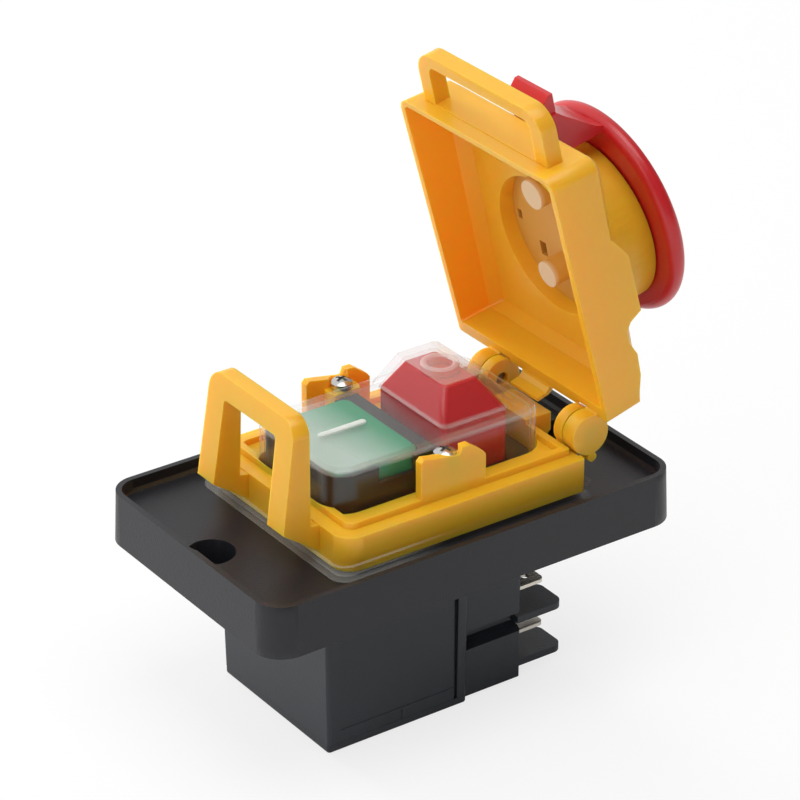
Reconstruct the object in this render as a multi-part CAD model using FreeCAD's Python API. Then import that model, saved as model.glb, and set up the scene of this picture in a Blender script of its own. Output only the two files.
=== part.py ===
"""Magnetic push button switch with a hinged stop flap, built as separate named pieces.

Frame: X runs along the mounting plate toward the flap hinge, Y across it, Z up out of the panel.
Z = 0 is the underside of the mounting plate, which sits on the panel. All sizes are in millimetres.
"""
import FreeCAD
import Part
import math
import os
from FreeCAD import Vector as V

os.makedirs("parts", exist_ok=True)

# Clearances
TOUCH = 0.06            # between fixed neighbours that rest on each other
RUN = 0.4               # between a moving piece and what it passes
PIN_FIT = 0.05          # radial play of a pin in its bore

# Mounting plate
PLATE_L, PLATE_W, PLATE_H = 104.0, 65.0, 11.8
PLATE_R, PLATE_DRAFT = 6.6, 0.5
RIM_W, RIM_DEEP = 1.3, 3.0
PLATE_FLOOR, PLATE_SKIRT, PLATE_RIB = 2.4, 2.4, 1.6
RIB_Y = 16.0
HOLE_X, HOLE_R, WELL_R, WELL_SEAT = 45.5, 2.25, 5.2, 3.0
BOSS_WALL, BOSS_R = 1.8, 3.0

# Base housing, terminal block and cover
BASE_X0, BASE_X1 = -30.3, 5.4
BASE_HALF, BASE_DEEP = 19.9, 35.9
BASE_DRAFT, BASE_WALL = 0.6, 1.8
COVER_T = 1.9
TONGUE_X, TONGUE_W, TONGUE_UP, TONGUE_DEEP = -14.0, 5.0, 2.4, 0.6
STRIP_W, PANEL_SINK = 3.0, 0.4
BLOCK_X1, BLOCK_INSET, BLOCK_LIFT = 20.3, 1.0, 0.7
GROOVE_Z0, GROOVE_Z1, GROOVE_DEEP, GROOVE_SLOPE, PAD = -23.7, -19.1, 2.6, 1.6, 2.0
FIN_X1, FIN_T, FIN_Z, FIN_W, FIN_PITCH = 31.8, 1.6, -21.0, 9.4, 10.8
BLADE_X1, BLADE_W, BLADE_T, BLADE_IN = 28.2, 6.3, 0.8, 5.3
BLADE_HOLE_IN, BLADE_HOLE_R = 3.0, 0.9
BLADE_Z, TAIL_W = -14.8, 3.4

# Bezel frame
BEZ_X0, BEZ_X1, BEZ_HALF = -29.5, 31.8, 25.3
BEZ_LEDGE, BEZ_R = 17.6, 4.6
LIP_INSET, LIP_END, LIP_W, LIP_UP = 3.3, 1.6, 1.7, 1.4
BEZ_WALL, BEZ_TOP = 2.0, 2.2
POST_HALF, POST_DEEP, POST_T, POST_BOSS_R = 8.2, 6.0, 1.9, 3.9
POST_TOP, POST_DIP, POST_EDGE, POST_STEP_X, POST_CROWN_X = 28.2, 26.6, 25.8, 1.6, 4.1
SCREW_OUT, SCREW_SEAT, SCREW_R, SCREW_HEAD_R, SCREW_HEAD_H = 2.9, 25.2, 1.5, 2.45, 2.2
SEAT_R, SCREW_END = 2.7, 0.8

# Hasp arch at the free end of the bezel
ARCH_FOOT_Z, ARCH_NOSE_Z, ARCH_TOP = 11.5, 17.6, 42.0
ARCH_FRONT0, ARCH_FRONT1, ARCH_BACK0, ARCH_BACK1 = -38.2, -34.7, -31.6, -31.1
ARCH_HALF0, ARCH_HALF1, ARCH_LEG0, ARCH_LEG1, ARCH_BAR = 16.7, 15.5, 6.1, 5.9, 5.0
ARCH_R = 4.2

# Clear boot
BOOT_X0, BOOT_X1, BOOT_HALF, BOOT_R = -25.6, 28.6, 16.0, 6.0
POST_OUT, SCREW_Y = BOOT_HALF + POST_DEEP, BOOT_HALF + SCREW_OUT
BOOT_T, BOOT_SHOULDER, BOOT_EASE = 0.9, 27.4, 1.6
FLANGE_OUT, FLANGE_T, FLANGE_LIP, FLANGE_R = 2.2, 0.9, 3.4, 4.0
DOME_X0, DOME_X1, DOME_HALF = 3.4, 22.6, 13.2
DOME_TX0, DOME_TX1, DOME_THALF, DOME_TOP = 6.8, 17.6, 8.9, 35.4

# Buttons and their guide
START_X0, START_X1, START_HALF, START_TOP = -23.2, -2.4, 13.2, 26.15
STOP_X0, STOP_X1, STOP_HALF, STOP_TX0, STOP_TX1, STOP_THALF = 4.7, 21.3, 11.9, 8.0, 16.5, 7.6
STOP_SHOULDER, STOP_TOP = 27.0, 33.7
START_TRAVEL, STOP_TRAVEL = 4.0, 4.0
GUIDE_FLOOR_Z, GUIDE_FLOOR_T, GUIDE_TOP, GUIDE_LOW = 8.6, 1.6, 25.1, 15.2
WINDOW_W, WINDOW_IN, WINDOW_DEEP = 9.0, 2.2, 3.6
STEM_R, BUTTON_WALL = 3.0, 1.8
RING_R, RING_W, RING_UP = 4.2, 1.5, 0.5
COIL_WIRE, BUTTON_COIL_R = 0.9, 4.6

# Contactor inside the base
CORE_X, CORE_HALF_X, CORE_HALF_Y = -12.5, 11.5, 8.0
CORE_Z0, CORE_YOKE, CORE_TOP, CORE_LEG, CORE_MID = -33.9, 5.0, -12.5, 3.4, 8.4
POCKET_R, POCKET_DEEP, ARM_COIL_R = 3.0, 8.0, 2.2
BOBBIN_WALL, BOBBIN_FLANGE = 0.9, 1.2
ARM_GAP, ARM_T = 2.8, 3.6
CARRIER_T, CARRIER_HALF, CARRIER_BACK, CARRIER_END, ARM_TRAVEL = 4.4, 5.0, 8.0, 1.6, 2.4
PEG_HALF, PEG_TAPER, PEG_H, PEG_GAP = 5.0, 1.0, 3.0, 2.0
BRIDGE_T, BRIDGE_W, TIP_R, TIP_H = 0.9, 3.4, 1.5, 0.8
POLE_XA, POLE_XB = 2.6, 9.6

# Flap: s runs from the hinge pin to the free end, t from the rim plane outward, lid closed
PIN_X, PIN_Z, PIN_R, BARREL_R = 34.8, 21.2, 1.5, 4.6
FLAP_OPEN = 77.0
FLAP_S0, FLAP_S1, FLAP_HALF, FLAP_DEEP = 3.3, 65.0, 26.6, 11.6
FLAP_WALL, FLAP_END, FLAP_R, FLAP_DRAFT, FLAP_RISE = 1.3, 2.9, 3.0, 0.7, 2.7
CROWN_T, CROWN_SHOULDER, CROWN_IN, CROWN_END, CEILING = 14.2, 13.2, 4.2, 5.0, 12.6
RUMP = ((20.6, 10.5), (18.3, 11.9), (15.4, 13.1), (10.0, 13.0), (4.9, 11.6), (4.9, 10.0))
HUMP = ((45.2, 10.0), (44.6, 12.0), (39.2, 15.3), (25.0, 15.9), (23.6, 12.9), (21.6, 11.4), (21.0, 10.0))
# Hinge stations across the width: lid barrel from, to, frame ear from, to; then the lid heel between them
HINGE = ((-23.0, -19.3, -18.9, -16.2), (11.2, 15.0, 8.2, 10.8))
HEEL_Y0, HEEL_Y1, PIN_SINK = -6.0, 3.6, 1.3
HEEL = ((4.7, 3.0), (4.7, 4.4), (2.4, 3.7), (1.4, 2.2), (1.2, -0.9), (2.0, -0.9), (2.1, 1.5), (2.9, 2.5))
REST_Y0, REST_Y1, REST_X, REST_DROP = -8.0, 5.0, 0.9, 1.2
DRUM_S, DRUM_R, DRUM_TOP, DRUM_WALL, DRUM_ROOF = 31.8, 18.8, 26.8, 2.5, 1.8
LUG_X, LUG_Z, LUG_R, LUG_L = 0.6, 5.4, 1.1, 2.4
LOOP_S1, LOOP_HALF, LOOP_T0, LOOP_T1, LOOP_R = 77.2, 21.3, 3.2, 7.0, 5.2
SLOT_S1, SLOT_HALF = 74.4, 17.4
DISC_T0, DISC_T1 = 16.2, 17.9
FOOT_S, FOOT_R, FOOT_SHORT_R, FOOT_T = 45.3, 3.4, 3.0, 11.2
FOOT2_S = 25.0
KEY_S, KEY_L, KEY_Y, KEY_W, NICK_S, NICK_L, NICK_Y, NICK_W = 25.8, 3.6, 7.4, 2.2, 32.0, 2.4, 14.2, 1.4

# Red latch head
HEAD_S, HEAD_R, HEAD_T0, HEAD_T1, HEAD_CROWN = 33.2, 24.5, 27.2, 31.2, 32.6
NECK_R, SOLE_R, SOLE_T = 7.0, 10.0, 2.2
LATCH_TRAVEL = 4.0
ARM_HALF, TAB_HALF, TAB_S1, TAB_L, TAB_T0, TAB_T1 = 6.4, 5.8, 69.6, 4.6, 14.9, 17.3
TAB_EASE, ARM_HIP_S, ARM_HIP_T, ARM_NECK_S, ARM_NECK_T = 1.4, 63.9, 18.4, 57.5, 25.9

FLOOR_Z = PLATE_H - RIM_DEEP
BASE_TOP = FLOOR_Z - PLATE_FLOOR - TOUCH


def box(x0, x1, y0, y1, z0, z1):
    return Part.makeBox(x1 - x0, y1 - y0, z1 - z0, V(x0, y0, z0))


def cyl(x, y, z, r, h, axis=V(0, 0, 1)):
    return Part.makeCylinder(r, h, V(x, y, z), axis)


def outline(x0, x1, y0, y1, z, r):
    """Closed wire of a rectangle at height z; r is one corner radius or four, from (x0, y0) round."""
    radii = r if isinstance(r, tuple) else (r, r, r, r)
    corners = ((x0, y0, 1, 1), (x1, y0, -1, 1), (x1, y1, -1, -1), (x0, y1, 1, -1))
    ends = []
    for (x, y, sx, sy), q in zip(corners, radii):
        along_y = (V(x, y + sy * q, z), V(x + sx * q, y, z))
        mid = V(x + sx * q * (1 - math.sqrt(0.5)), y + sy * q * (1 - math.sqrt(0.5)), z)
        a, b = along_y if sx == sy else along_y[::-1]
        ends.append((a, mid, b))
    edges = []
    for i, (a, mid, b) in enumerate(ends):
        edges.append(Part.Arc(a, mid, b).toShape())
        edges.append(Part.makeLine(b, ends[(i + 1) % 4][0]))
    return Part.Wire(edges)


def prism(x0, x1, y0, y1, z0, z1, r):
    return Part.Face(outline(x0, x1, y0, y1, z0, r)).extrude(V(0, 0, z1 - z0))


def taper(*levels):
    """Solid through rounded rectangles, each given as (x0, x1, y0, y1, z, r)."""
    return Part.makeLoft([outline(*q) for q in levels], True, True)


def slab_xz(points, y0, y1):
    wire = Part.makePolygon([V(x, y0, z) for x, z in points] + [V(points[0][0], y0, points[0][1])])
    return Part.Face(wire).extrude(V(0, y1 - y0, 0))


def slab_yz(points, x0, x1):
    wire = Part.makePolygon([V(x0, y, z) for y, z in points] + [V(x0, *points[0])])
    return Part.Face(wire).extrude(V(x1 - x0, 0, 0))


def spring(x, y, z0, z1, r, turns):
    """Compression coil standing on z0: a six sided wire section lofted along a helix, 12 steps a turn."""
    height = z1 - z0 - 1.1 * COIL_WIRE
    steps = int(turns * 12)
    sections = []
    for i in range(steps + 1):
        a = 2 * math.pi * i / 12
        z = z0 + 0.55 * COIL_WIRE + height * i / steps
        pts = []
        for j in range(7):
            b = math.pi * j / 3
            q = r + COIL_WIRE / 2 * math.cos(b)
            pts.append(V(x + q * math.cos(a), y + q * math.sin(a), z + COIL_WIRE / 2 * math.sin(b)))
        sections.append(Part.makePolygon(pts))
    return Part.makeLoft(sections, True, True)


def rounded(shape, r, pick):
    edges = [e for e in shape.Edges if pick(e)]
    return shape.makeFillet(r, edges) if edges else shape


def save(name, *solids):
    shape = solids[0] if len(solids) == 1 else Part.makeCompound(list(solids))
    shape.exportStep("parts/%s.step" % name)


def lid(shape):
    """Turn a piece modelled on the closed flap to the open rest position."""
    shape.rotate(V(PIN_X, 0, PIN_Z), V(0, 1, 0), FLAP_OPEN)
    return shape


def fx(s):
    return PIN_X - s


def fz(t):
    return PIN_Z + t


# Mounting plate: drafted skirt, recessed floor, screw wells and ribs underneath
hl, hw, d = PLATE_L / 2, PLATE_W / 2, PLATE_DRAFT
plate = taper((-hl, hl, -hw, hw, 0, PLATE_R), (-hl + d, hl - d, -hw + d, hw - d, PLATE_H, PLATE_R - d))
rim = d + RIM_W
recess = taper((-hl + rim + 0.5, hl - rim - 0.5, -hw + rim + 0.5, hw - rim - 0.5, FLOOR_Z,
                PLATE_R - rim - 0.5),
               (-hl + rim, hl - rim, -hw + rim, hw - rim, FLOOR_Z + 0.8, PLATE_R - rim),
               (-hl + rim, hl - rim, -hw + rim, hw - rim, PLATE_H + 1, PLATE_R - rim))
under = FLOOR_Z - PLATE_FLOOR
k = PLATE_SKIRT
hollow = prism(-hl + k, hl - k, -hw + k, hw - k, -1, under, PLATE_R - k)
ribs = [box(-hl + 1, BASE_X0 - BASE_DRAFT - 1.2, y - PLATE_RIB / 2, y + PLATE_RIB / 2, 0.4, under)
        for y in (-RIB_Y, RIB_Y)]
ribs += [box(FIN_X1 + 2.2, hl - 1, y - PLATE_RIB / 2, y + PLATE_RIB / 2, 0.4, under) for y in (-RIB_Y, RIB_Y)]
for side in (-1, 1):
    ribs.append(box(side * HOLE_X - PLATE_RIB / 2, side * HOLE_X + PLATE_RIB / 2, -hw + 1, hw - 1, 0.4,
                    under))
    ribs.append(cyl(side * HOLE_X, 0, 0, WELL_R + BOSS_WALL, under))
    for x in (-14, 14):
        y0 = side * (BASE_HALF + 1.6)
        y1 = side * (hw - 1)
        ribs.append(box(x - PLATE_RIB / 2, x + PLATE_RIB / 2, min(y0, y1), max(y0, y1), 0.4, under))
plate = plate.cut(hollow.cut(ribs[0].multiFuse(ribs[1:]))).cut(recess)
for side in (-1, 1):
    plate = plate.cut(cyl(side * HOLE_X, 0, -1, HOLE_R, 20))
    plate = plate.cut(cyl(side * HOLE_X, 0, WELL_SEAT, WELL_R, 20))
    plate = plate.cut(cyl(0, side * SCREW_Y, 0, SCREW_R + 0.25, 20))
plate = plate.cut(prism(BOOT_X0 + BOOT_T + 0.3, BOOT_X1 - BOOT_T - 0.3, -BOOT_HALF + BOOT_T + 0.3,
                        BOOT_HALF - BOOT_T - 0.3, 0, 20, 3.0))
save("mounting_plate", plate)

# Base housing: drafted box, open toward the plate, the cover and the terminal block
w, dr = BASE_WALL, BASE_DRAFT
base_z0 = -BASE_DEEP + COVER_T + TOUCH
grow = dr * BASE_TOP / BASE_DEEP
base = taper((BASE_X0, BASE_X1, -BASE_HALF, BASE_HALF, -BASE_DEEP, 0.8),
             (BASE_X0 - dr - grow, BASE_X1, -BASE_HALF - dr - grow, BASE_HALF + dr + grow, BASE_TOP, 0.8))
base = base.cut(box(-60, 60, -60, 60, -60, base_z0))
base = base.cut(box(BASE_X0 + w, BASE_X1 + 1, -BASE_HALF + w, BASE_HALF - w, -60, 60))
for side in (-1, 1):
    y0, y1 = sorted((side * (BASE_HALF + dr - PANEL_SINK - 0.2), side * 60))
    sunk = box(BASE_X0 + STRIP_W, BASE_X1 - 2.6, y0, y1, base_z0 + 3.0, -2.0)
    base = base.cut(sunk)
    y0, y1 = sorted((side * (BASE_HALF - TONGUE_DEEP), side * 60))
    base = base.cut(box(BASE_X1 - 3.4, BASE_X1 - 2.6, y0, y1, base_z0 - 1, 1))
    base = base.cut(box(TONGUE_X - TONGUE_W / 2, TONGUE_X + TONGUE_W / 2, y0, y1, base_z0 - 1,
                        base_z0 + TONGUE_UP))
    base = base.fuse(cyl(0, side * SCREW_Y, 0.1, BOSS_R, BASE_TOP - 0.1))
    base = base.cut(cyl(0, side * SCREW_Y, 0.6, SCREW_R + TOUCH, 40))
save("base_housing", base.removeSplitter())

# Bottom cover with two snap tongues that fill the windows in the housing walls
cover = prism(BASE_X0, BASE_X1, -BASE_HALF, BASE_HALF, -BASE_DEEP, -BASE_DEEP + COVER_T, 0.8)
cover = rounded(cover, 0.6, lambda e: all(abs(v.Z + BASE_DEEP) < 1e-6 for v in e.Vertexes))
for side in (-1, 1):
    y0, y1 = sorted((side * (BASE_HALF - TONGUE_DEEP + TOUCH), side * (BASE_HALF - TOUCH)))
    cover = cover.fuse(box(TONGUE_X - TONGUE_W / 2 + TOUCH, TONGUE_X + TONGUE_W / 2 - TOUCH, y0, y1,
                           -BASE_DEEP + COVER_T,
                           base_z0 + TONGUE_UP - TOUCH))
save("bottom_cover", cover)

# Terminal block: grooved body with a barrier fin under each terminal
bx0 = BASE_X1 + TOUCH
half = BASE_HALF - BLOCK_INSET
blade_y = half - BLADE_IN
bz0 = -BASE_DEEP + BLOCK_LIFT
block = prism(bx0, BLOCK_X1, -half, half, bz0, BASE_TOP, (0.3, 0.6, 0.6, 0.3))
block = block.cut(box(bx0 - 1, BLOCK_X1 - w, -half + w, half - w, bz0 + w, 60))
for side in (-1, 1):
    y0, y1 = sorted((side * (half - w - 0.1), side * (half - GROOVE_DEEP - PAD)))
    block = block.fuse(box(bx0, BLOCK_X1 - w, y0, y1, GROOVE_Z0 - PAD, GROOVE_Z1 + PAD))
    points = ((side * (half + 1), GROOVE_Z1), (side * (half - GROOVE_DEEP), GROOVE_Z1),
              (side * (half - GROOVE_DEEP), GROOVE_Z0 + GROOVE_SLOPE), (side * half, GROOVE_Z0),
              (side * (half + 1), GROOVE_Z0))
    block = block.cut(slab_yz(points, bx0 - 1, BLOCK_X1 + 1))
    for i in range(2):
        z = FIN_Z - i * FIN_PITCH
        y0, y1 = sorted((side * half, side * (half - FIN_W)))
        block = block.fuse(prism(BLOCK_X1 - 0.8, FIN_X1, y0, y1, z - FIN_T / 2, z + FIN_T / 2,
                                 (0.2, 2.2, 2.2, 0.2)))
        z = BLADE_Z - i * FIN_PITCH
        y = side * blade_y
        block = block.cut(box(BLOCK_X1 - w - 1, BLOCK_X1 + 1, y - BLADE_W / 2 - TOUCH,
                              y + BLADE_W / 2 + TOUCH,
                              z - BLADE_T / 2 - TOUCH, z + BLADE_T / 2 + TOUCH))
save("terminal_block", block.removeSplitter())

# Spade terminals: outside blade, narrower tail, riser and inner contact arm in one strip
arm_z = CORE_TOP + ARM_GAP
tip_top = arm_z + ARM_T + CARRIER_T / 2 - ARM_TRAVEL - BRIDGE_T / 2
strip_z = tip_top - TIP_H - BLADE_T / 2
tail_y = blade_y - BLADE_W / 2 + TAIL_W / 2
blades, tips = [], []
for i, pole in enumerate((POLE_XA, POLE_XB)):
    z = BLADE_Z - i * FIN_PITCH
    riser = pole + 2.6
    for side in (-1, 1):
        y0, y1 = sorted((side * (tail_y - TAIL_W / 2), side * (tail_y + TAIL_W / 2)))
        lo, hi = z - BLADE_T / 2, z + BLADE_T / 2
        y = side * blade_y
        shape = prism(BLOCK_X1 - w + 0.4, BLADE_X1, y - BLADE_W / 2, y + BLADE_W / 2, lo, hi,
                      (0.1, 1.4, 1.4, 0.1))
        shape = shape.cut(cyl(BLADE_X1 - BLADE_HOLE_IN, y, z - 2, BLADE_HOLE_R, 4))
        tail = box(riser, BLOCK_X1 - w + 0.6, y0, y1, lo, hi)
        stand = box(riser, riser + BLADE_T, y0, y1, lo, strip_z + BLADE_T / 2)
        arm = box(pole - 2.0, riser + BLADE_T, y0, y1, strip_z - BLADE_T / 2, strip_z + BLADE_T / 2)
        blades.append(shape.fuse([tail, stand, arm]).removeSplitter())
        tips.append(cyl(pole, side * tail_y, strip_z + BLADE_T / 2 + 0.01, TIP_R, TIP_H - 0.02))
save("spade_terminals", *blades)
save("fixed_contact_tips", *tips)

# Magnet: E core, bobbin, winding
core = box(CORE_X - CORE_HALF_X, CORE_X + CORE_HALF_X, -CORE_HALF_Y, CORE_HALF_Y, CORE_Z0, CORE_TOP)
for side in (-1, 1):
    inner = CORE_X + side * (CORE_MID / 2)
    outer = CORE_X + side * (CORE_HALF_X - CORE_LEG)
    core = core.cut(box(min(inner, outer), max(inner, outer), -20, 20, CORE_Z0 + CORE_YOKE, 0))
core = core.cut(cyl(CORE_X, 0, CORE_TOP - POCKET_DEEP, POCKET_R, 40))
save("magnet_core", core)
hx, hy, bw = CORE_MID / 2 + 0.15, CORE_HALF_Y + 0.15, BOBBIN_WALL
bob0, bob1 = CORE_Z0 + CORE_YOKE + TOUCH, CORE_TOP - 1.6
fl_x, fl_y = CORE_HALF_X - CORE_LEG - 0.15, CORE_HALF_Y + 4.2
bobbin = prism(CORE_X - hx - bw, CORE_X + hx + bw, -hy - bw, hy + bw, bob0, bob1, 0.8)
for z in (bob0, bob1 - BOBBIN_FLANGE):
    bobbin = bobbin.fuse(prism(CORE_X - fl_x, CORE_X + fl_x, -fl_y, fl_y, z, z + BOBBIN_FLANGE, 1.0))
bobbin = bobbin.cut(box(CORE_X - hx, CORE_X + hx, -hy, hy, -60, 0))
save("coil_bobbin", bobbin.removeSplitter())
win0, win1 = bob0 + BOBBIN_FLANGE + TOUCH, bob1 - BOBBIN_FLANGE - TOUCH
wind = prism(CORE_X - fl_x + 0.3, CORE_X + fl_x - 0.3, -fl_y + 0.4, fl_y - 0.4, win0, win1, 2.4)
wind = wind.cut(prism(CORE_X - hx - bw - TOUCH, CORE_X + hx + bw + TOUCH, -hy - bw - TOUCH, hy + bw + TOUCH,
                      win0 - 1, win1 + 1, 0.8))
save("coil_winding", wind)

# Armature plate, contact carrier and bridges, which move down together
arm = box(CORE_X - CORE_HALF_X, CORE_X + CORE_HALF_X, -CORE_HALF_Y, CORE_HALF_Y, arm_z, arm_z + ARM_T)
arm = rounded(arm, 0.6, lambda e: abs(e.Length - ARM_T) < 1e-6)
save("armature", arm)
car0 = arm_z + ARM_T + TOUCH
car1 = car0 + CARRIER_T
reach = POLE_XB + BRIDGE_W / 2 + CARRIER_END
peg, pt = PEG_HALF, PEG_TAPER
carrier = prism(CORE_X - CARRIER_BACK, reach, -CARRIER_HALF, CARRIER_HALF, car0, car1, pt)
carrier = carrier.fuse(taper((CORE_X - peg, CORE_X + peg, -peg + pt / 2, peg - pt / 2, car1, pt),
                             (CORE_X - peg + pt, CORE_X + peg - pt, -peg + 1.5 * pt, peg - 1.5 * pt,
                              car1 + PEG_H, pt)))
bridges = []
mid = (car0 + car1) / 2
for pole in (POLE_XA, POLE_XB):
    gap = 0.08
    carrier = carrier.cut(box(pole - BRIDGE_W / 2 - gap, pole + BRIDGE_W / 2 + gap, -20, 20,
                              mid - BRIDGE_T / 2 - gap, mid + BRIDGE_T / 2 + gap))
    bar = prism(pole - BRIDGE_W / 2, pole + BRIDGE_W / 2, -tail_y - TIP_R, tail_y + TIP_R, mid - BRIDGE_T / 2,
                mid + BRIDGE_T / 2, 1.0)
    bridges.append(bar)
save("contact_carrier", carrier.removeSplitter())
save("contact_bridges", *bridges)

# Return spring of the armature, in the pocket of the middle leg
save("armature_spring", spring(CORE_X, 0, CORE_TOP - POCKET_DEEP + TOUCH, arm_z - TOUCH, ARM_COIL_R, 5))

# Button guide: black moulding with a well for each button
gx0, gx1 = BOOT_X0 + BOOT_T + 0.4, BOOT_X1 - BOOT_T - 0.4
gy = BOOT_HALF - BOOT_T - 0.4
guide = prism(gx0, gx1, -gy, gy, GUIDE_FLOOR_Z, GUIDE_TOP, BOOT_R - BOOT_T - 0.4)
guide = guide.cut(prism(START_X0 - RUN, START_X1 + RUN, -START_HALF - RUN, START_HALF + RUN,
                        GUIDE_FLOOR_Z + GUIDE_FLOOR_T, 60, 2.4))
guide = guide.cut(prism(STOP_X0 - RUN, STOP_X1 + RUN, -STOP_HALF - RUN, STOP_HALF + RUN,
                        GUIDE_FLOOR_Z + GUIDE_FLOOR_T, 60, 1.6))
start_x, stop_x = (START_X0 + START_X1) / 2, (STOP_X0 + STOP_X1) / 2
guide = guide.cut(box((START_X1 + STOP_X0) / 2, gx1 + 1, -60, 60, GUIDE_LOW, 60))
guide = guide.cut(box(START_X1 - WINDOW_IN - WINDOW_W, START_X1 - WINDOW_IN, -60, 60,
                      GUIDE_TOP - WINDOW_DEEP, 60))
for x in (CORE_X, stop_x):
    guide = guide.cut(cyl(x, 0, 0, STEM_R + RUN, 60))
lug = prism(gx0 + 1.0, gx1 - 1.0, -gy + 1.0, gy - 1.0, FLOOR_Z - PLATE_FLOOR + 0.2, GUIDE_FLOOR_Z + 0.1, 3.0)
lug = lug.cut(prism(gx0 + 3.0, gx1 - 3.0, -gy + 3.0, gy - 3.0, 0, 60, 2.0))
guide = guide.fuse(lug)
save("button_guide", guide.removeSplitter())

# Start button: shallow cap on a stem, raised bar on top
def cap(x0, x1, h, z0, z1, r, ease):
    return taper((x0, x1, -h, h, z0, r), (x0, x1, -h, h, z1 - ease, r),
                 (x0 + ease, x1 - ease, -h + ease, h - ease, z1, r))


floor_z = GUIDE_FLOOR_Z + GUIDE_FLOOR_T
start_z0 = floor_z + START_TRAVEL + RUN
start = cap(START_X0, START_X1, START_HALF, start_z0, START_TOP, 2.0, 0.7)
bwl = BUTTON_WALL
start = start.cut(prism(START_X0 + bwl, START_X1 - bwl, -START_HALF + bwl, START_HALF - bwl, 0,
                        START_TOP - bwl, 1.0))
stem_z = car1 + PEG_H + PEG_GAP
start = start.fuse(cyl(CORE_X, 0, stem_z, STEM_R, START_TOP - bwl - stem_z + 0.5))
save("start_button", start)
save("start_spring", spring(CORE_X, 0, floor_z + TOUCH, START_TOP - bwl - TOUCH, BUTTON_COIL_R, 4))

# Stop button: truncated pyramid with a raised ring
stop_z0 = floor_z + STOP_TRAVEL + RUN
stop = taper((STOP_X0, STOP_X1, -STOP_HALF, STOP_HALF, stop_z0, 1.2),
             (STOP_X0, STOP_X1, -STOP_HALF, STOP_HALF, STOP_SHOULDER, 1.2))
peak = taper((STOP_X0, STOP_X1, -STOP_HALF, STOP_HALF, STOP_SHOULDER, 1.2),
             (STOP_TX0, STOP_TX1, -STOP_THALF, STOP_THALF, STOP_TOP, 1.0))
stop = stop.fuse(peak)
stop = stop.cut(prism(STOP_X0 + bwl, STOP_X1 - bwl, -STOP_HALF + bwl, STOP_HALF - bwl, 0,
                      STOP_SHOULDER - 1.0, 0.6))
top_x = (STOP_TX0 + STOP_TX1) / 2
ring = cyl(top_x, 0, STOP_TOP - 0.3, RING_R,
           RING_UP + 0.3).cut(cyl(top_x, 0, STOP_TOP - 1, RING_R - RING_W, 4))
stop_stem = FLOOR_Z - PLATE_FLOOR - 4.0
stop = stop.fuse([ring, cyl(stop_x, 0, stop_stem, STEM_R, STOP_SHOULDER - stop_stem)])
save("stop_button", stop.removeSplitter())
save("stop_spring", spring(stop_x, 0, floor_z + TOUCH, STOP_SHOULDER - 1.0 - TOUCH, BUTTON_COIL_R, 4))

# Clear boot: flange with an upturned lip, straight walls, dome over the stop button
def boot_body(g, z0):
    """Boot outside grown inward by g."""
    e = BOOT_EASE
    body = taper((BOOT_X0 + g, BOOT_X1 - g, -BOOT_HALF + g, BOOT_HALF - g, z0, BOOT_R - g),
                 (BOOT_X0 + g, BOOT_X1 - g, -BOOT_HALF + g, BOOT_HALF - g, BOOT_SHOULDER - g - e, BOOT_R - g),
                 (BOOT_X0 + g + 0.45, BOOT_X1 - g - 0.45, -BOOT_HALF + g + 0.45, BOOT_HALF - g - 0.45,
                  BOOT_SHOULDER - g - 0.45, BOOT_R - g - 0.45),
                 (BOOT_X0 + g + e, BOOT_X1 - g - e, -BOOT_HALF + g + e, BOOT_HALF - g - e,
                  BOOT_SHOULDER - g, BOOT_R - g - e))
    dome = taper((DOME_X0 + g, DOME_X1 - g, -DOME_HALF + g, DOME_HALF - g, BOOT_SHOULDER - g - 1.5, 1.6),
                 (DOME_X0 + g, DOME_X1 - g, -DOME_HALF + g, DOME_HALF - g, BOOT_SHOULDER + 0.6 - g, 1.6),
                 (DOME_TX0 + g, DOME_TX1 - g, -DOME_THALF + g, DOME_THALF - g, DOME_TOP - g, 1.4))
    return body.fuse(dome)


fz0 = FLOOR_Z + TOUCH
fl = FLANGE_OUT
boot = prism(BEZ_X0 - fl, BEZ_X1 + fl - 0.8, -BEZ_HALF - fl + 0.6, BEZ_HALF + fl - 0.6, fz0, fz0 + FLANGE_LIP,
             (FLANGE_R, 1.6, 1.6, FLANGE_R))
g = BOOT_T
boot = boot.cut(prism(BEZ_X0 - fl + g, BEZ_X1 + fl - 0.8 - g, -BEZ_HALF - fl + 0.6 + g,
                      BEZ_HALF + fl - 0.6 - g,
                      fz0 + FLANGE_T, 60, (FLANGE_R - g, 0.5, 0.5, FLANGE_R - g)))
boot = boot.fuse(boot_body(0.0, fz0)).cut(boot_body(BOOT_T, fz0 - 5))
for side in (-1, 1):
    boot = boot.cut(cyl(0, side * SCREW_Y, 0, SCREW_R + 0.25, fz0 + FLANGE_T + 1))
save("clear_boot", boot.removeSplitter())

# Bezel frame: stepped shell with screw posts, hasp arch and the middle hinge knuckle
bz = fz0 + FLANGE_T + TOUCH
frame = prism(BEZ_X0, BEZ_X1, -BEZ_HALF, BEZ_HALF, bz, BEZ_LEDGE, (BEZ_R, 0.6, 0.6, BEZ_R))
i0, i1 = LIP_INSET, LIP_INSET + LIP_W
lip = prism(BEZ_X0 + i0, BEZ_X1 - LIP_END, -BEZ_HALF + i0, BEZ_HALF - i0, BEZ_LEDGE - 0.5,
            BEZ_LEDGE + LIP_UP, (2.2, 0.5, 0.5, 2.2))
lip = lip.cut(prism(BEZ_X0 + i1, BEZ_X1 - LIP_END - LIP_W, -BEZ_HALF + i1, BEZ_HALF - i1, 0, 60,
                    (1.2, 0.4, 0.4, 1.2)))
cut_w = BEZ_WALL
inside = prism(BEZ_X0 + cut_w, BEZ_X1 - cut_w, -BEZ_HALF + cut_w, BEZ_HALF - cut_w, 0, BEZ_LEDGE - BEZ_TOP,
               (BEZ_R - cut_w, 0.4, 0.4, BEZ_R - cut_w))
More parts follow.
